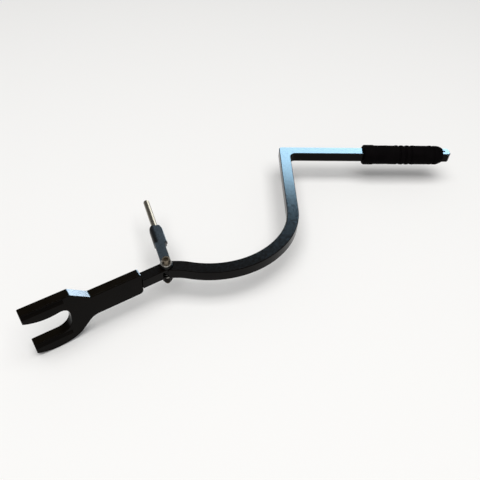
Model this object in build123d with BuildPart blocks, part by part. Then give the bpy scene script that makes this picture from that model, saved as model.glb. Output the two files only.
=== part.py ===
from build123d import *
import math
import os

# Winch handle: a C-shaped crank arm with a foam hand grip, hinged by one bolt to a forked jaw.
# A swing lever with an adjustable steel rod in its head turns on the same bolt.
# +Z is up along the pivot bolt, +X is the direction in which the crank arm leaves the pivot.
# The pieces are drawn about the bolt's axis at half the arm's height, and save() moves the origin
# up to the centre of the bolt head's top face. Millimetres and degrees.

# ---------- driving dimensions ----------
ARM_WIDTH = 16.0          # crank arm bar, across its plane
ARM_HEIGHT = 15.0         # crank arm bar, along the pivot axis
EDGE_BREAK = 0.8          # broken edges of the cut bars
GRIP_LENGTH = 126.0
GRIP_RADIUS = 15.3
JAW_THICKNESS = 12.0      # fork plate, standing on edge
SHANK_WIDTH = 14.0
SHANK_HEIGHT = 15.0
JAW_ANGLE = -148.7        # direction of the jaw, seen from above
LEVER_ANGLE = 107.4       # direction of the swing lever, seen from above
BOLT_DIAMETER = 6.0       # pivot bolt
ROD_DIAMETER = 8.0
GAP = 0.05                # clearance between pieces that are fixed together
RUNNING_GAP = 0.04        # radial clearance of a pin that turns or slides in its hole

# ---------- crank arm centre line, from the pivot outwards ----------
ARM_ROOT_RUN = 14.0
REVERSE_BEND = (54.0, 12.9)       # radius, angle: bends away from the grip side
LOWER_BEND = (116.4, 69.4)
UPPER_BEND = (102.5, 32.4)
RISE_RUN = 136.0                  # straight stretch below the handle corner
HANDLE_RUN = 271.5                # outer corner to the free end
INNER_CORNER_RADIUS = 9.5
OUTER_CORNER_RADIUS = 4.0
GRIP_START = 132.5                # from the outer corner
END_CHAMFER = 3.0
LANYARD_HOLE = 4.0
LANYARD_INSET = 9.0               # from the free end

# ---------- pivot stack ----------
TONGUE_HEIGHT = 7.0
TONGUE_RADIUS = 6.6
CHEEK_SLOT = 8.6                  # gap between the two cheeks of the shank
SHOULDER_RADIUS = SHANK_WIDTH / 2 + 1.6
BUSH_RADIUS = 4.5
THRUST_WASHER = (6.2, 0.7)        # radius, thickness
LEVER_WASHER = (6.5, 0.6)
STEEL_WASHER = (6.9, 1.5)
BOLT_HEAD = (5.0, 6.0)
BOLT_SOCKET_FLATS = 5.0
BOLT_SOCKET_DEPTH = 3.0
BOLT_LENGTH = 37.0
NUT_FLATS = 12.0
NUT_HEIGHT = 8.5
NUT_COLLAR = (4.9, 2.2)

# ---------- jaw profile: u along the jaw from the pivot, v along +Z ----------
BODY_START = 35.0
BODY_TOP = 16.8
BODY_BOTTOM = -16.0
BODY_CORNER = 5.0
RAMP_FOOT = 97.5
RAMP_HEAD = 118.0
PRONG_TOP = 33.8
JAW_TIP = 172.0
LOWER_JAW_TIP = 169.5
SLOT_ROOT = 123.0
SLOT_UPPER = 14.2
SLOT_LOWER = -21.5
SLOT_CORNER = 9.0
SLOT_LOWER_CORNER = 17.0
UPPER_TIP = 19.5
LOWER_TIP = -37.0
LOWER_BULGE = -43.0
LOWER_SHOULDER = (116.0, -34.5)
LOWER_FOOT = 98.5
GROOVE_DEPTH = 2.6
GROOVE_DROP = 1.0                 # below the prong's upper edge
GROOVE_HEIGHT = 7.0
GROOVE_LIP = 0.8
MORTISE = (8.0, 11.0, 42.0)       # width, height, depth of the socket in the jaw body
PIN_DIAMETER = 4.0
PIN_RECESS = 0.15
PIN_INSETS = (10.0, 30.0)         # from the body's end

# ---------- swing lever: u along the lever from the pivot, s across it, away from the arm ----------
LEVER_PLATE = 3.0
EYE_RADIUS = 7.6
NECK_LEFT = 5.85
NECK_RIGHT = -6.4
HEAD_LEFT = 6.0
HEAD_RIGHT = -9.9
HEAD_START = 33.0
HEAD_END = 70.5
HEAD_FLARE = 4.5                  # length over which the neck widens to the head
HEAD_NOSE = (8.5, 2.3)            # long shallow chamfer at the far right corner: along, across
HEAD_CORNER = 2.0
HEAD_ROUND = 4.5                  # upright corners on the rod's side
HEAD_SHOULDER = (6.0, 3.0)        # rounding along the rod's side: above, below
HEAD_DEPTH = 12.5                 # below the lever's top face
HEAD_UNDERCUT = 7.0               # slope of the head's near face
NECK_OVERLAP = 5.0                # of the neck's plate into the head
LEVER_EDGE_BREAK = 0.7
ROD_OFFSET = -2.45
ROD_DROP = 7.1                    # rod axis below the lever's top face
ROD_BACK = 36.0
ROD_TIP = 125.0
ROD_TIP_ROUND = 1.8
CLAMP_SCREW = (2.0, 41.0)         # radius, distance from the pivot
SCREW_PROUD = 1.2
SCREW_SOCKET = (2.0, 2.0)         # flats, depth
SCREW_CLEAR = 0.2                 # between the screw's end and the rod


def direction(angle):
    """Unit vector in the XY plane."""
    return Vector(math.cos(math.radians(angle)), math.sin(math.radians(angle)), 0)


def save(part, label):
    """Write one piece, with the origin at the centre of the bolt head's top face."""
    piece = part.moved(Location((0, 0, -head_top)))
    piece.label = label
    export_step(piece, f"parts/{label}.step")


os.makedirs("parts", exist_ok=True)

# planes whose x axis runs along the jaw or the lever
jaw_axis = direction(JAW_ANGLE)
jaw_side = direction(JAW_ANGLE + 90)
lever_axis = direction(LEVER_ANGLE)
lever_side = direction(LEVER_ANGLE + 90)
jaw_profile_plane = Plane(origin=(0, 0, 0), x_dir=jaw_axis, z_dir=-jaw_side)
jaw_plan_plane = Plane(origin=(0, 0, 0), x_dir=jaw_axis, z_dir=(0, 0, 1))

# heights of the pivot stack
cheek_top = SHANK_HEIGHT / 2
lever_bottom = cheek_top + LEVER_WASHER[1]
lever_top = lever_bottom + LEVER_PLATE
head_seat = lever_top + STEEL_WASHER[1]
head_top = head_seat + BOLT_HEAD[1]
nut_seat = -cheek_top - STEEL_WASHER[1]
bolt_tip = head_seat - BOLT_LENGTH

# ---------- crank arm, cut from plate ----------
with BuildPart() as crank_arm:
    with BuildSketch(Plane.XY.offset(-ARM_HEIGHT / 2)) as arm_outline:
        with BuildLine() as arm_path:
            root_run = Line((0, 0), (ARM_ROOT_RUN, 0))
            reverse_bend = JernArc(root_run @ 1, root_run % 1, REVERSE_BEND[0], -REVERSE_BEND[1])
            lower_bend = JernArc(reverse_bend @ 1, reverse_bend % 1, *LOWER_BEND)
            upper_bend = JernArc(lower_bend @ 1, lower_bend % 1, *UPPER_BEND)
            handle_centre = upper_bend @ 1 + (upper_bend % 1) * RISE_RUN
            Line(upper_bend @ 1, handle_centre + (upper_bend % 1) * ARM_WIDTH)
        trace(line_width=ARM_WIDTH)
        outer_x = handle_centre.X - ARM_WIDTH / 2
        free_end = outer_x + HANDLE_RUN
        bar_length = free_end - handle_centre.X
        bar_middle = (handle_centre.X + free_end) / 2
        with Locations((bar_middle, handle_centre.Y)):
            Rectangle(bar_length, ARM_WIDTH)
        with Locations((handle_centre.X, handle_centre.Y + ARM_WIDTH)):
            Rectangle(2 * ARM_WIDTH, ARM_WIDTH, mode=Mode.SUBTRACT)
        inner_corner = (outer_x + ARM_WIDTH, handle_centre.Y - ARM_WIDTH / 2, -ARM_HEIGHT / 2)
        fillet(arm_outline.vertices().sort_by_distance(inner_corner)[0], INNER_CORNER_RADIUS)
        outer_corner = (outer_x, handle_centre.Y + ARM_WIDTH / 2, -ARM_HEIGHT / 2)
        fillet(arm_outline.vertices().sort_by_distance(outer_corner)[0], OUTER_CORNER_RADIUS)
        chamfer(arm_outline.vertices().group_by(Axis.X)[-1], END_CHAMFER)
    extrude(amount=ARM_HEIGHT)
    long_edges = crank_arm.faces().filter_by(Axis.Z).edges()
    chamfer(long_edges, EDGE_BREAK)
    # round shoulder that lets the cheeks of the shank turn past the arm
    with BuildSketch(Plane.XY.offset(-ARM_HEIGHT)):
        Circle(SHOULDER_RADIUS)
    extrude(amount=2 * ARM_HEIGHT, mode=Mode.SUBTRACT)
    with BuildSketch(Plane.XY.offset(-TONGUE_HEIGHT / 2)):
        Circle(TONGUE_RADIUS)
        with Locations((ARM_ROOT_RUN / 2, 0)):
            Rectangle(ARM_ROOT_RUN, 2 * TONGUE_RADIUS)
    extrude(amount=TONGUE_HEIGHT)
    Hole(BUSH_RADIUS + GAP / 2)
    lanyard_x = free_end - LANYARD_INSET
    with Locations((lanyard_x, handle_centre.Y, ARM_HEIGHT / 2)):
        Hole(LANYARD_HOLE / 2)
save(crank_arm.part, "crank_arm")

handle_y = handle_centre.Y
handle_plane = Plane(origin=(outer_x, handle_y, 0), x_dir=(1, 0, 0), z_dir=(0, -1, 0))

# ---------- foam grip ----------
grip_end = GRIP_START + GRIP_LENGTH
with BuildPart() as foam_grip:
    with BuildSketch(handle_plane):
        with BuildLine():
            Polyline(
                (GRIP_START, 0),
                (GRIP_START, GRIP_RADIUS),
                (grip_end - 5, GRIP_RADIUS),
                (grip_end, GRIP_RADIUS - 3),
                (grip_end, 0),
                close=True,
            )
        make_face()
    revolve(axis=Axis((outer_x, handle_y, 0), (1, 0, 0)))
    grip_face = (outer_x + GRIP_START - 1, handle_y, 0)
    with BuildSketch(Plane(origin=grip_face, x_dir=(0, 1, 0), z_dir=(1, 0, 0))):
        Rectangle(ARM_WIDTH + 2 * GAP, ARM_HEIGHT + 2 * GAP)
    extrude(amount=GRIP_LENGTH + 2, mode=Mode.SUBTRACT)
save(foam_grip.part, "foam_grip")

# ---------- pivot bush and washers ----------
bolt_bore = BOLT_DIAMETER / 2 + RUNNING_GAP

with BuildPart() as pivot_bush:
    with BuildSketch(Plane.XY.offset(-TONGUE_HEIGHT / 2)):
        Circle(BUSH_RADIUS)
        Circle(bolt_bore, mode=Mode.SUBTRACT)
    extrude(amount=TONGUE_HEIGHT)
save(pivot_bush.part, "pivot_bush")


def washer(radius, thickness, heights, label):
    """Flat rings around the pivot bolt, one at each height."""
    with BuildPart() as ring:
        for height in heights:
            with BuildSketch(Plane.XY.offset(height)):
                Circle(radius)
                Circle(bolt_bore, mode=Mode.SUBTRACT)
            extrude(amount=thickness)
        if thickness > 1:
            rims = ring.edges().filter_by(GeomType.CIRCLE).filter_by(lambda rim: rim.radius > bolt_bore + 1)
            fillet(rims, thickness * 0.2)
    save(ring.part, label)


slot_gap = (CHEEK_SLOT - TONGUE_HEIGHT) / 2
thrust_low = TONGUE_HEIGHT / 2 + (slot_gap - THRUST_WASHER[1]) / 2
washer(*THRUST_WASHER, [thrust_low, -thrust_low - THRUST_WASHER[1]], "thrust_washers")
washer(*LEVER_WASHER, [cheek_top], "lever_friction_washer")
washer(*STEEL_WASHER, [lever_top], "head_washer")
washer(*STEEL_WASHER, [nut_seat], "nut_washer")

# ---------- pivot bolt and lock nut ----------
with BuildPart() as pivot_bolt:
    with BuildSketch(Plane.XY.offset(bolt_tip)):
        Circle(BOLT_DIAMETER / 2)
    extrude(amount=BOLT_LENGTH)
    chamfer(pivot_bolt.edges().group_by(Axis.Z)[0], 1.0)
    with BuildSketch(Plane.XY.offset(head_seat)):
        Circle(BOLT_HEAD[0])
    extrude(amount=BOLT_HEAD[1])
    fillet(pivot_bolt.edges().group_by(Axis.Z)[-1], 0.6)
    with BuildSketch(Plane.XY.offset(head_top - BOLT_SOCKET_DEPTH)):
        RegularPolygon(BOLT_SOCKET_FLATS / 2, 6, major_radius=False)
    extrude(amount=BOLT_SOCKET_DEPTH + 1, mode=Mode.SUBTRACT)
save(pivot_bolt.part, "pivot_bolt")

nut_bottom = nut_seat - NUT_HEIGHT
with BuildPart() as lock_nut:
    with BuildSketch(Plane.XY.offset(nut_bottom)):
        RegularPolygon(NUT_FLATS / 2, 6, major_radius=False)
    extrude(amount=NUT_HEIGHT)
    with BuildSketch(Plane.XY.offset(nut_bottom)):
        Circle(NUT_FLATS / 2 + 0.15)
    extrude(amount=NUT_HEIGHT + 1, taper=-24, mode=Mode.INTERSECT)
    with BuildSketch(Plane.XY.offset(nut_bottom)):
        Circle(NUT_COLLAR[0])
    extrude(amount=-NUT_COLLAR[1])
    with BuildSketch(Plane.XY.offset(nut_seat)):
        Circle(BOLT_DIAMETER / 2 + GAP)
    extrude(amount=-2 * NUT_HEIGHT, mode=Mode.SUBTRACT)
    with BuildSketch(Plane.XY.offset(nut_bottom - NUT_COLLAR[1])):
        Circle(NUT_COLLAR[0] - 0.7)
    extrude(amount=NUT_COLLAR[1] + 0.4, mode=Mode.SUBTRACT)
save(lock_nut.part, "lock_nut")

with BuildPart() as nut_insert:
    with BuildSketch(Plane.XY.offset(nut_bottom + 0.35)):
        Circle(NUT_COLLAR[0] - 0.7 - GAP)
        Circle(BOLT_DIAMETER / 2 + GAP, mode=Mode.SUBTRACT)
    extrude(amount=-NUT_COLLAR[1] - 0.2)
save(nut_insert.part, "nut_nylon_insert")

# ---------- shank with its clevis cheeks and tenon ----------
tenon_end = BODY_START + MORTISE[2] - 1.0
pin_stations = [BODY_START + inset for inset in PIN_INSETS]

with BuildPart() as shank:
    with BuildSketch(jaw_plan_plane.offset(-SHANK_HEIGHT / 2)):
        Circle(SHANK_WIDTH / 2)
        with Locations(((BODY_START - GAP) / 2, 0)):
            Rectangle(BODY_START - GAP, SHANK_WIDTH)
    extrude(amount=SHANK_HEIGHT)
    chamfer(shank.faces().filter_by(Axis.Z).edges(), EDGE_BREAK)
    with BuildSketch(jaw_plan_plane.offset(-MORTISE[1] / 2)):
        with Locations(((BODY_START - 2 + tenon_end) / 2, 0)):
            Rectangle(tenon_end - BODY_START + 2, MORTISE[0])
    extrude(amount=MORTISE[1])
    # open slot between the two cheeks
    with BuildSketch(jaw_plan_plane.offset(-CHEEK_SLOT / 2)):
        Rectangle(2 * SHOULDER_RADIUS, 2 * SHANK_WIDTH)
    extrude(amount=CHEEK_SLOT, mode=Mode.SUBTRACT)
    Hole(bolt_bore)
    for station in pin_stations:
        with BuildSketch(Plane(origin=jaw_axis * station, z_dir=jaw_side)):
            Circle(PIN_DIAMETER / 2 + GAP)
        extrude(amount=SHANK_WIDTH, both=True, mode=Mode.SUBTRACT)
save(shank.part, "shank")

# ---------- fork jaw: a plate on edge, with a socket for the shank ----------
with BuildPart() as fork_jaw:
    with BuildSketch(jaw_profile_plane) as jaw_outline:
        with BuildLine():
            Polyline(
                (LOWER_FOOT, BODY_BOTTOM),
                (BODY_START, BODY_BOTTOM),
                (BODY_START, BODY_TOP),
                (RAMP_FOOT, BODY_TOP),
                (RAMP_HEAD, PRONG_TOP),
                (JAW_TIP, PRONG_TOP),
                (JAW_TIP, UPPER_TIP),
            )
            slot_start = SLOT_ROOT + SLOT_CORNER + 1
            upper_middle = ((JAW_TIP + slot_start) / 2, SLOT_UPPER - 1.2)
            ThreePointArc((JAW_TIP, UPPER_TIP), upper_middle, (slot_start, SLOT_UPPER))
            Polyline(
                (slot_start, SLOT_UPPER),
                (SLOT_ROOT, SLOT_UPPER),
                (SLOT_ROOT, SLOT_LOWER),
                (LOWER_JAW_TIP, SLOT_LOWER),
                (LOWER_JAW_TIP, LOWER_TIP),
            )
            bulge_middle = ((LOWER_JAW_TIP + LOWER_SHOULDER[0]) / 2, LOWER_BULGE)
            ThreePointArc((LOWER_JAW_TIP, LOWER_TIP), bulge_middle, LOWER_SHOULDER)
            Line(LOWER_SHOULDER, (LOWER_FOOT, BODY_BOTTOM))
        make_face()
    jaw_thickness_half = JAW_THICKNESS / 2
    extrude(amount=jaw_thickness_half, both=True)
    corner_radii = [
        ((BODY_START, BODY_BOTTOM), BODY_CORNER),
        ((BODY_START, BODY_TOP), 2.5),
        ((RAMP_FOOT, BODY_TOP), 3.0),
        ((RAMP_HEAD, PRONG_TOP), 3.0),
        ((SLOT_ROOT, SLOT_UPPER), SLOT_CORNER),
        ((SLOT_ROOT, SLOT_LOWER), SLOT_LOWER_CORNER),
        (LOWER_SHOULDER, 9.0),
        ((LOWER_FOOT, BODY_BOTTOM), 14.0),
        ((JAW_TIP, PRONG_TOP), 1.5),
        ((JAW_TIP, UPPER_TIP), 1.0),
        ((LOWER_JAW_TIP, SLOT_LOWER), 1.5),
        ((LOWER_JAW_TIP, LOWER_TIP), 1.0),
    ]
    for (u, v), radius in corner_radii:
        corner = jaw_axis * u + Vector(0, 0, v)
        cross_edges = fork_jaw.edges().filter_by(Axis((0, 0, 0), tuple(jaw_side)))
        fillet(cross_edges.sort_by_distance(corner)[0], radius)
    broad_faces = fork_jaw.faces().filter_by(Axis((0, 0, 0), tuple(jaw_side)))
    chamfer(broad_faces.edges(), EDGE_BREAK)
    # tapered relief below the upper edge of each prong, on both broad faces
    groove_plane = Plane(origin=jaw_axis * (SLOT_ROOT + 3), x_dir=jaw_side, z_dir=jaw_axis)
    up = 1 if groove_plane.y_dir.Z > 0 else -1
    with BuildSketch(groove_plane):
        for edge_height in (PRONG_TOP, SLOT_LOWER):
            for side in (1, -1):
                top = edge_height - GROOVE_DROP
                bottom = top - GROOVE_HEIGHT
                with BuildLine():
                    Polyline(
                        (side * (jaw_thickness_half + 1), up * top),
                        (side * jaw_thickness_half, up * top),
                        (side * (jaw_thickness_half - GROOVE_DEPTH), up * (top - GROOVE_LIP)),
                        (side * jaw_thickness_half, up * bottom),
                        (side * (jaw_thickness_half + 1), up * bottom),
                        close=True,
                    )
                make_face()
    extrude(amount=JAW_TIP - SLOT_ROOT, mode=Mode.SUBTRACT)
    # socket for the shank's tenon
    with BuildSketch(jaw_plan_plane.offset(-MORTISE[1] / 2 - GAP)):
        with Locations((BODY_START + MORTISE[2] / 2 - 1, 0)):
            Rectangle(MORTISE[2] + 2, MORTISE[0] + 2 * GAP)
    extrude(amount=MORTISE[1] + 2 * GAP, mode=Mode.SUBTRACT)
    for station in pin_stations:
        with BuildSketch(Plane(origin=jaw_axis * station, z_dir=jaw_side)):
            Circle(PIN_DIAMETER / 2 + GAP)
        extrude(amount=SHANK_WIDTH, both=True, mode=Mode.SUBTRACT)
save(fork_jaw.part, "fork_jaw")

# dowel pins through jaw and tenon
with BuildPart() as jaw_pins:
    for station in pin_stations:
        with BuildSketch(Plane(origin=jaw_axis * station, z_dir=jaw_side)):
            Circle(PIN_DIAMETER / 2)
        extrude(amount=JAW_THICKNESS / 2 - PIN_RECESS, both=True)
save(jaw_pins.part, "jaw_dowel_pins")

# ---------- swing lever: a flat neck with a thick head that holds the rod ----------
lever_plane = Plane(origin=(0, 0, 0), x_dir=lever_axis, z_dir=(0, 0, 1))
rod_height = lever_top - ROD_DROP
rod_origin = lever_side * ROD_OFFSET + Vector(0, 0, rod_height)
rod_line = Plane(origin=rod_origin, x_dir=lever_side, z_dir=lever_axis)
head_outline = [
    (HEAD_START, HEAD_LEFT),
    (HEAD_END, HEAD_LEFT),
    (HEAD_END - 1.5, HEAD_RIGHT + HEAD_NOSE[1]),
    (HEAD_END - HEAD_NOSE[0], HEAD_RIGHT),
    (HEAD_START + HEAD_FLARE, HEAD_RIGHT),
    (HEAD_START, NECK_RIGHT),
]

with BuildPart() as lever:
    with BuildSketch(lever_plane.offset(lever_top)) as head_plan:
        with BuildLine():
            Polyline(*head_outline, close=True)
        make_face()
        fillet(head_plan.vertices().group_by(Axis.Y)[-1], HEAD_ROUND)
        fillet(head_plan.vertices().filter_by(lambda corner: corner.Y < 0), HEAD_CORNER)
    extrude(amount=-HEAD_DEPTH)
    chamfer(lever.faces().filter_by(Axis.Z).edges(), LEVER_EDGE_BREAK)
    # rounded side over the rod
    section_plane = Plane(origin=lever_axis * (HEAD_START - 1), x_dir=lever_side, z_dir=lever_axis)
    with BuildSketch(section_plane) as section:
        with Locations(((HEAD_LEFT + HEAD_RIGHT) / 2, lever_top - HEAD_DEPTH / 2)):
            Rectangle(HEAD_LEFT - HEAD_RIGHT, HEAD_DEPTH)
        for height, radius in zip((lever_top, lever_top - HEAD_DEPTH), HEAD_SHOULDER):
            fillet(section.vertices().sort_by_distance((HEAD_LEFT, height, 0))[0], radius)
    extrude(amount=HEAD_END, mode=Mode.INTERSECT)
    # the head's near face slopes back under the neck
    with BuildSketch(Plane(origin=(0, 0, 0), x_dir=lever_axis, z_dir=-lever_side)):
        with BuildLine():
            Polyline(
                (HEAD_START - 1, lever_bottom),
                (HEAD_START, lever_bottom),
                (HEAD_START + HEAD_UNDERCUT, lever_top - HEAD_DEPTH - 1),
                (HEAD_START - 1, lever_top - HEAD_DEPTH - 1),
                close=True,
            )
        make_face()
    extrude(amount=-2 * HEAD_RIGHT, both=True, mode=Mode.SUBTRACT)
    with BuildSketch(lever_plane.offset(lever_bottom)):
        Circle(EYE_RADIUS)
        with Locations(((HEAD_START + NECK_OVERLAP) / 2, (NECK_LEFT + NECK_RIGHT) / 2)):
            Rectangle(HEAD_START + NECK_OVERLAP, NECK_LEFT - NECK_RIGHT)
    extrude(amount=LEVER_PLATE)
    Hole(bolt_bore)
    with BuildSketch(rod_line.offset(HEAD_START - 1)):
        Circle(ROD_DIAMETER / 2 + RUNNING_GAP)
    extrude(amount=HEAD_END, mode=Mode.SUBTRACT)
    screw_origin = lever_axis * CLAMP_SCREW[1] + Vector(0, 0, rod_height)
    with BuildSketch(Plane(origin=screw_origin + lever_side * ROD_OFFSET, z_dir=-lever_side)):
        Circle(CLAMP_SCREW[0] + GAP)
    extrude(amount=-HEAD_RIGHT, mode=Mode.SUBTRACT)
save(lever.part, "swing_lever")

screw_end = HEAD_RIGHT - SCREW_PROUD
screw_start = ROD_OFFSET - ROD_DIAMETER / 2 - SCREW_CLEAR
with BuildPart() as clamp_screw:
    with BuildSketch(Plane(origin=screw_origin + lever_side * screw_start, z_dir=-lever_side)):
        Circle(CLAMP_SCREW[0])
    extrude(amount=screw_start - screw_end)
    with BuildSketch(Plane(origin=screw_origin + lever_side * screw_end, z_dir=lever_side)):
        RegularPolygon(SCREW_SOCKET[0] / 2, 6, major_radius=False)
    extrude(amount=SCREW_SOCKET[1], mode=Mode.SUBTRACT)
save(clamp_screw.part, "rod_clamp_screw")

with BuildPart() as rod:
    with BuildSketch(rod_line.offset(ROD_BACK)):
        Circle(ROD_DIAMETER / 2)
    extrude(amount=ROD_TIP - ROD_BACK)
    rod_ends = rod.edges().filter_by(GeomType.CIRCLE).sort_by(Axis((0, 0, 0), tuple(lever_axis)))
    fillet(rod_ends[-1], ROD_TIP_ROUND)
    chamfer(rod_ends[0], LEVER_EDGE_BREAK)
save(rod.part, "steel_rod")
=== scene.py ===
import math

import bmesh
import bpy
from mathutils import Matrix, Vector


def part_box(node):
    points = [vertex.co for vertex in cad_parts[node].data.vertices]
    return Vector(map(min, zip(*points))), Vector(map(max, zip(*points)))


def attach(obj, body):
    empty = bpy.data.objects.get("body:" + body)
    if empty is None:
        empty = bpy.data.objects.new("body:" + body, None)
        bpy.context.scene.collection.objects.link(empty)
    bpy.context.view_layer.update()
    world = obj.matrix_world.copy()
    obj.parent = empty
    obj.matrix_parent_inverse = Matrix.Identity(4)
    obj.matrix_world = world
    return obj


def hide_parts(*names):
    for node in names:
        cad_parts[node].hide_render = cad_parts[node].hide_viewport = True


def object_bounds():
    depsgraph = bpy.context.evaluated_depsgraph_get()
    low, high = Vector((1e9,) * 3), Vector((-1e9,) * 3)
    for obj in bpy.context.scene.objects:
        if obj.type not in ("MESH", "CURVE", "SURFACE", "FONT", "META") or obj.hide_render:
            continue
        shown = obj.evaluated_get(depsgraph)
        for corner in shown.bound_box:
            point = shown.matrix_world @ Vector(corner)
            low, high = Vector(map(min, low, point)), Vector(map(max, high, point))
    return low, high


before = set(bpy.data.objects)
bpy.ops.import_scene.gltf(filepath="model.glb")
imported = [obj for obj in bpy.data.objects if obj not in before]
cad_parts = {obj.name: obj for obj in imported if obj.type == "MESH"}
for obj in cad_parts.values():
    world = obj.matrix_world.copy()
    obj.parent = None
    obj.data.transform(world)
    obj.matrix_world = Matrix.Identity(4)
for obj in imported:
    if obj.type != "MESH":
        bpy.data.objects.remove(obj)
cad_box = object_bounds()

# Winch handle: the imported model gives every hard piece, and this scene gives each its finish,
# a detailed foam grip, the floor, the light and the camera. Metres and degrees.

# ---------- camera ----------
CAMERA_POINT = Vector((0.0532, -0.4170, 0.4571))
CAMERA_DOWN = math.radians(45.43)
CAMERA_RIGHT = math.radians(4.72)
CAMERA_ROLL = math.radians(3.24)
CAMERA_LENS = 38.5            # millimetres, on a sensor 36 mm wide

# ---------- foam grip, stations measured from its inner end ----------
GRIP_STEPS = 252              # rings along the grip
GRIP_SIDES = 128              # points around each ring
BEAD_LENGTH = 0.0165
BEAD_HEIGHT = 0.0007
BEAD_RUNOUT = 0.003
GROOVES = ((0.0570, 0.0019), (0.0660, 0.0019), (0.0752, 0.0019), (0.1112, 0.00133))      # station, depth
GROOVE_HALF_WIDTH = 0.0020
SWELLS = ((0.0532, 0.0004, 0.0030), (0.0617, 0.0004, 0.0035), (0.0707, 0.0004, 0.0035),
          (0.0799, 0.0004, 0.0035), (0.1077, 0.0003, 0.0035))     # station, height, half width
GRIP_NECK_RADIUS = 0.0117
GRIP_TAPER = 0.0080
GRIP_EDGE = 0.0030
GRIP_TUNNEL = (0.00805, 0.00755)      # half width and half height of the hole for the bar
TUNNEL_FLARE = 0.0008
TUNNEL_LIP = 0.0006

# ---------- stage ----------
FLOOR_HALF = 6.0
WINDOW_DISTANCE = 4.0
BARE_STEEL = ("pivot_bolt", "head_washer", "nut_washer", "steel_rod")


def look_at(obj, target):
    direction = Vector(target) - obj.location
    obj.rotation_euler = direction.to_track_quat("-Z", "Y").to_euler()


# ---------- materials ----------
def new_material(name, base, roughness, **sockets):
    """A Principled material with its plain numbers set on the shader's own sockets."""
    material = bpy.data.materials.new(name)
    material.use_nodes = True
    shader = material.node_tree.nodes["Principled BSDF"]
    shader.inputs["Base Color"].default_value = (*base, 1)
    shader.inputs["Roughness"].default_value = roughness
    for socket, value in sockets.items():
        shader.inputs[socket.replace("_", " ")].default_value = value
    return material, material.node_tree, shader


def link(tree, source, output, target, socket):
    tree.links.new(source.outputs[output], target.inputs[socket])


def noise(tree, scale, detail=4.0, stretch=None):
    """Noise over the object's own coordinates, optionally stretched along its axes."""
    coordinates = tree.nodes.new("ShaderNodeTexCoord")
    texture = tree.nodes.new("ShaderNodeTexNoise")
    texture.inputs["Scale"].default_value = scale
    texture.inputs["Detail"].default_value = detail
    if stretch:
        mapping = tree.nodes.new("ShaderNodeMapping")
        mapping.inputs["Scale"].default_value = stretch
        link(tree, coordinates, "Object", mapping, "Vector")
        link(tree, mapping, "Vector", texture, "Vector")
    else:
        link(tree, coordinates, "Object", texture, "Vector")
    return texture


def vary(tree, source, output, shader, socket, low, high, start=0.35, stop=0.65):
    """Map a texture's value to a number on the shader."""
    band = tree.nodes.new("ShaderNodeMapRange")
    band.inputs["From Min"].default_value = start
    band.inputs["From Max"].default_value = stop
    band.inputs["To Min"].default_value = low
    band.inputs["To Max"].default_value = high
    link(tree, source, output, band, "Value")
    link(tree, band, "Result", shader, socket)


def tint(tree, source, output, shader, dark, light, start=0.3, stop=0.7):
    """Map a texture's value to a colour on the shader."""
    ramp = tree.nodes.new("ShaderNodeValToRGB")
    ramp.color_ramp.elements[0].position = start
    ramp.color_ramp.elements[0].color = (*dark, 1)
    ramp.color_ramp.elements[1].position = stop
    ramp.color_ramp.elements[1].color = (*light, 1)
    link(tree, source, output, ramp, "Fac")
    link(tree, ramp, "Color", shader, "Base Color")


def bump(tree, source, output, shader, distance, strength):
    node = tree.nodes.new("ShaderNodeBump")
    node.inputs["Distance"].default_value = distance
    node.inputs["Strength"].default_value = strength
    link(tree, source, output, node, "Height")
    link(tree, node, "Normal", shader, "Normal")


def edge_highlight_mask(tree, width):
    """Painted highlight mask: white on sharp edges, from the angle between the true normal and one rounded
    over the width.
    """
    rounded = tree.nodes.new("ShaderNodeBevel")
    rounded.inputs["Radius"].default_value = width
    geometry = tree.nodes.new("ShaderNodeNewGeometry")
    same = tree.nodes.new("ShaderNodeVectorMath")
    same.operation = "DOT_PRODUCT"
    link(tree, rounded, "Normal", same, 0)
    link(tree, geometry, "Normal", same, 1)
    band = tree.nodes.new("ShaderNodeMapRange")
    band.inputs["From Min"].default_value = 0.99
    band.inputs["From Max"].default_value = 0.85
    link(tree, same, "Value", band, "Value")
    return band


def satin_paint(name, dark, light, gloss, specular, edge_highlight_colour=(0.022, 0.020, 0.018)):
    """Sprayed coat over plate: fine orange peel, faint dusty patches, uneven gloss, and a thin painted
    highlight on sharp edges.
    """
    material, tree, shader = new_material(name, dark, gloss[0], Specular_IOR_Level=specular)
    patches = noise(tree, 38.0, detail=6.0)
    tint(tree, patches, "Fac", shader, dark, light)
    coat = shader.inputs["Base Color"].links[0].from_socket
    speckle = noise(tree, 420.0, detail=5.0)
    # painted highlight: a paler colour on sharp edges, broken up by the speckle, stands in for light caught
    # along the edges
    highlit_edges = tree.nodes.new("ShaderNodeMath")
    highlit_edges.operation = "MULTIPLY"
    link(tree, edge_highlight_mask(tree, width=0.0006), "Result", highlit_edges, 0)
    link(tree, speckle, "Fac", highlit_edges, 1)
    mix = tree.nodes.new("ShaderNodeMix")
    mix.data_type = "RGBA"
    mix.inputs["B"].default_value = (*edge_highlight_colour, 1)
    link(tree, highlit_edges, "Value", mix, "Factor")
    tree.links.new(coat, mix.inputs["A"])
    link(tree, mix, "Result", shader, "Base Color")
    vary(tree, speckle, "Fac", shader, "Roughness", *gloss)
    peel = noise(tree, 1100.0, detail=2.0)
    bump(tree, peel, "Fac", shader, distance=0.00005, strength=0.45)
    return material


def brushed(name, dark, light, gloss, stretch):
    """Turned or drawn metal with fine lines along one direction."""
    material, tree, shader = new_material(name, light, gloss[0], Metallic=1.0)
    lines = noise(tree, 900.0, detail=3.0, stretch=stretch)
    tint(tree, lines, "Fac", shader, dark, light)
    vary(tree, lines, "Fac", shader, "Roughness", *gloss)
    bump(tree, lines, "Fac", shader, distance=0.00002, strength=0.4)
    return material


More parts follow.
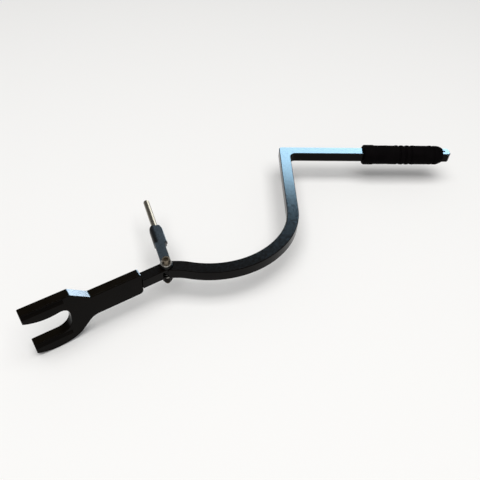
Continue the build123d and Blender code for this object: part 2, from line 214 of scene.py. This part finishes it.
def foam(name):
    """Closed-cell foam rubber: matt, with fine pores and faint patches."""
    material, tree, shader = new_material(name, (0.004, 0.0036, 0.0036), 0.8, Specular_IOR_Level=0.015)
    cells = tree.nodes.new("ShaderNodeTexVoronoi")
    cells.inputs["Scale"].default_value = 1500.0
    coordinates = tree.nodes.new("ShaderNodeTexCoord")
    link(tree, coordinates, "Object", cells, "Vector")
    patches = noise(tree, 60.0, detail=8.0)
    tint(tree, patches, "Fac", shader, (0.0016, 0.0013, 0.0014), (0.0036, 0.0030, 0.0032))
    vary(tree, patches, "Fac", shader, "Roughness", 0.62, 0.80)
    bump(tree, cells, "Distance", shader, distance=0.0003, strength=0.5)
    return material


def plain(name, dark, light, gloss):
    """Moulded plastic or plain bearing metal with a little mottling."""
    material, tree, shader = new_material(name, light, gloss[0])
    patches = noise(tree, 200.0, detail=4.0)
    tint(tree, patches, "Fac", shader, dark, light)
    vary(tree, patches, "Fac", shader, "Roughness", *gloss)
    bump(tree, patches, "Fac", shader, distance=0.00003, strength=0.3)
    return material


def floor_paper(name):
    material, tree, shader = new_material(name, (0.9, 0.9, 0.9), 0.9, Specular_IOR_Level=0.1)
    grain = noise(tree, 300.0, detail=3.0)
    bump(tree, grain, "Fac", shader, distance=0.0001, strength=0.1)
    return material


AROUND = (1.0, 1.0, 12.0)     # how the lines of turned and of drawn steel are stretched
ALONG = (6.0, 0.5, 6.0)
arm_coat = satin_paint("arm_coat", (0.0016, 0.0011, 0.0008), (0.0028, 0.0020, 0.0016), (0.11, 0.19), 0.065)
jaw_coat = satin_paint("jaw_coat", (0.0013, 0.0007, 0.0003), (0.0024, 0.0014, 0.0006), (0.13, 0.22), 0.042)
lever_coat = satin_paint("lever_coat", (0.005, 0.005, 0.005), (0.0095, 0.0095, 0.0095), (0.26, 0.34), 0.09)
zinc_coat = satin_paint("zinc_coat", (0.0040, 0.0028, 0.0018), (0.0070, 0.0052, 0.0036), (0.25, 0.36), 0.05)
turned_steel = brushed("turned_steel", (0.10, 0.08, 0.055), (0.20, 0.17, 0.13), (0.26, 0.38), AROUND)
washer_steel = brushed("washer_steel", (0.24, 0.23, 0.21), (0.36, 0.35, 0.33), (0.28, 0.40), AROUND)
drawn_steel = brushed("drawn_steel", (0.17, 0.155, 0.125), (0.28, 0.265, 0.22), (0.22, 0.32), ALONG)
bearing_bronze = plain("bearing_bronze", (0.35, 0.21, 0.09), (0.45, 0.29, 0.14), (0.3, 0.4))
nylon = plain("nylon", (0.62, 0.61, 0.57), (0.75, 0.74, 0.70), (0.4, 0.5))
grip_foam = foam("grip_foam")

NODE_FINISH = {
    "crank_arm": arm_coat,
    "shank": arm_coat,
    "fork_jaw": jaw_coat,
    "jaw_dowel_pins": jaw_coat,
    "swing_lever": lever_coat,
    "lock_nut": zinc_coat,
    "rod_clamp_screw": zinc_coat,
    "pivot_bolt": turned_steel,
    "head_washer": washer_steel,
    "nut_washer": washer_steel,
    "steel_rod": drawn_steel,
    "pivot_bush": bearing_bronze,
    "thrust_washers": nylon,
    "lever_friction_washer": nylon,
    "nut_nylon_insert": nylon,
}
for node_name, finish in NODE_FINISH.items():
    node_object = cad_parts[node_name]
    node_object.data.materials.clear()
    node_object.data.materials.append(finish)


# ---------- foam grip ----------
def smooth_step(value):
    value = min(max(value, 0.0), 1.0)
    return value * value * (3 - 2 * value)


def dip(distance, half_width):
    """One at the middle of a groove, falling smoothly to zero at its edges."""
    return 0.0 if abs(distance) >= half_width else 0.5 + 0.5 * math.cos(math.pi * distance / half_width)


def grip_radius(station, length, body_radius):
    """Outer radius of the foam at one station."""
    radius = body_radius - BEAD_HEIGHT
    radius += BEAD_HEIGHT * smooth_step((BEAD_LENGTH + BEAD_RUNOUT / 2 - station) / BEAD_RUNOUT)
    for place, depth in GROOVES:
        radius -= depth * dip(station - place, GROOVE_HALF_WIDTH)
    for place, height, half_width in SWELLS:
        radius += height * dip(station - place, half_width)
    edge = min(station / GRIP_EDGE, 1.0)
    radius -= GRIP_EDGE * 0.8 * (1 - math.sqrt(1 - (1 - edge) ** 2))
    rest = length - station
    if rest < GRIP_TAPER:
        share = 1 - rest / GRIP_TAPER
        radius -= (radius - GRIP_NECK_RADIUS) * share**1.35
    return radius


def bar_radius(angle, half_width, half_height):
    """Distance from the axis to the bar's surface in one direction."""
    across, up = abs(math.cos(angle)), abs(math.sin(angle))
    return min(half_width / max(across, 1e-6), half_height / max(up, 1e-6))


def make_grip():
    """Foam sleeve: an outer skin with bead, grooves and taper, and a square tunnel for the bar."""
    low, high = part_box("foam_grip")
    length = high.x - low.x
    centre = (low + high) / 2
    body_radius = (high.z - low.z) / 2
    mesh = bpy.data.meshes.new("foam_grip_skin")
    made = bmesh.new()
    rings = []

    def ring(station, radii):
        vertices = []
        for index in range(GRIP_SIDES):
            angle = 2 * math.pi * index / GRIP_SIDES
            radius = radii(angle)
            across, up = radius * math.cos(angle), radius * math.sin(angle)
            vertices.append(made.verts.new((low.x + station, centre.y + across, centre.z + up)))
        rings.append(vertices)

    for step in range(GRIP_STEPS + 1):
        station = length * step / GRIP_STEPS
        radius = grip_radius(station, length, body_radius)
        unevenness = 0.00012 * math.sin(station * 310) + 0.00008 * math.sin(station * 780 + 1.0)
        ring(station, lambda angle: radius + unevenness * math.sin(3 * angle + station * 40))
    tunnel_rings = (
        (length, TUNNEL_FLARE),
        (length - TUNNEL_LIP, 0.0),
        (TUNNEL_LIP, 0.0),
        (0.0, TUNNEL_FLARE),
    )
    for station, margin in tunnel_rings:
        ring(station, lambda angle: bar_radius(angle, *GRIP_TUNNEL) + margin)
    for first, second in zip(rings, rings[1:] + rings[:1]):
        for index in range(GRIP_SIDES):
            following = (index + 1) % GRIP_SIDES
            made.faces.new((first[index], first[following], second[following], second[index]))
    bmesh.ops.recalc_face_normals(made, faces=made.faces)
    made.to_mesh(mesh)
    made.free()
    for face in mesh.polygons:
        face.use_smooth = True
    grip = bpy.data.objects.new("foam_grip_sleeve", mesh)
    bpy.context.scene.collection.objects.link(grip)
    grip.data.materials.append(grip_foam)
    return grip


grip = make_grip()
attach(grip, "crank")
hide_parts("foam_grip")


# ---------- floor, light and camera ----------
def make_floor(height):
    mesh = bpy.data.meshes.new("floor")
    corners = [(-1, -1), (1, -1), (1, 1), (-1, 1)]
    mesh.from_pydata([(x * FLOOR_HALF, y * FLOOR_HALF, height) for x, y in corners], [], [(0, 1, 2, 3)])
    floor = bpy.data.objects.new("floor", mesh)
    bpy.context.scene.collection.objects.link(floor)
    floor.data.materials.append(floor_paper("floor_paper"))
    return floor


def area_light(name, place, target, width, height, power, colour):
    data = bpy.data.lights.new(name, "AREA")
    data.shape = "RECTANGLE"
    data.size = width
    data.size_y = height
    data.energy = power
    data.color = colour
    light = bpy.data.objects.new(name, data)
    light.location = place
    bpy.context.scene.collection.objects.link(light)
    look_at(light, target)
    light.visible_camera = False
    return light


floor = make_floor(cad_box[0][2] - 0.0002)

# its members are excluded, so the bright windows light the coated pieces only; bare steel has its own
# dim window in the same place
unlit_by_windows = bpy.data.collections.new("unlit_by_windows")
steel_only = bpy.data.collections.new("steel_only")
unlit_by_windows.objects.link(floor)
unlit_by_windows.objects.link(grip)
for node_name in BARE_STEEL:
    unlit_by_windows.objects.link(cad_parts[node_name])
    steel_only.objects.link(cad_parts[node_name])
for member in unlit_by_windows.collection_objects:
    member.light_linking.link_state = "EXCLUDE"


def window(name, low, high, heading, spread, radiance, colour, receivers):
    """A soft window far beyond the object. All four angles in degrees, radiance at its strongest colour."""
    middle, across = math.radians((low + high) / 2), math.radians(heading)
    flat = WINDOW_DISTANCE * math.cos(middle)
    place = Vector((flat * math.sin(across), flat * math.cos(across), WINDOW_DISTANCE * math.sin(middle)))
    height = 2 * WINDOW_DISTANCE * math.tan(math.radians((high - low) / 2))
    width = 2 * flat * math.tan(math.radians(spread / 2))
    light = area_light(name, place, (0, 0, 0), width, height, radiance * math.pi * width * height, colour)
    light.light_linking.receiver_collection = receivers


# one window just high enough to shine along the flat tops beside the grip, and one low for the jaw's slope
window("window", 26.5, 37.0, 20.0, 34.0, 74.0, (0.46, 0.76, 1.0), unlit_by_windows)
window("low_window", 1.0, 20.0, 18.0, 44.0, 95.0, (0.64, 0.82, 1.0), unlit_by_windows)
window("steel_window", 1.0, 37.0, 20.0, 34.0, 4.6, (0.96, 0.98, 1.0), steel_only)
area_light("soft_top", (0.1, -0.5, 3.2), (0.1, 0.1, 0), 3.4, 3.0, 116, (1.0, 0.99, 0.97))

world = bpy.data.worlds.new("world")
bpy.context.scene.world = world
world.use_nodes = True
world.node_tree.nodes["Background"].inputs["Color"].default_value = (1.0, 1.0, 1.0, 1)
world.node_tree.nodes["Background"].inputs["Strength"].default_value = 0.25

bpy.context.scene.view_settings.view_transform = "Standard"

camera_data = bpy.data.cameras.new("camera")
camera_data.lens = CAMERA_LENS
camera_data.sensor_width = 36.0
camera_data.clip_start = 0.01
camera = bpy.data.objects.new("camera", camera_data)
heading = Matrix.Rotation(-CAMERA_RIGHT, 4, "Z")
tilt = Matrix.Rotation(math.pi / 2 - CAMERA_DOWN, 4, "X")
roll = Matrix.Rotation(CAMERA_ROLL, 4, "Z")
camera.matrix_world = Matrix.Translation(CAMERA_POINT) @ heading @ tilt @ roll
bpy.context.scene.collection.objects.link(camera)
bpy.context.scene.camera = camera
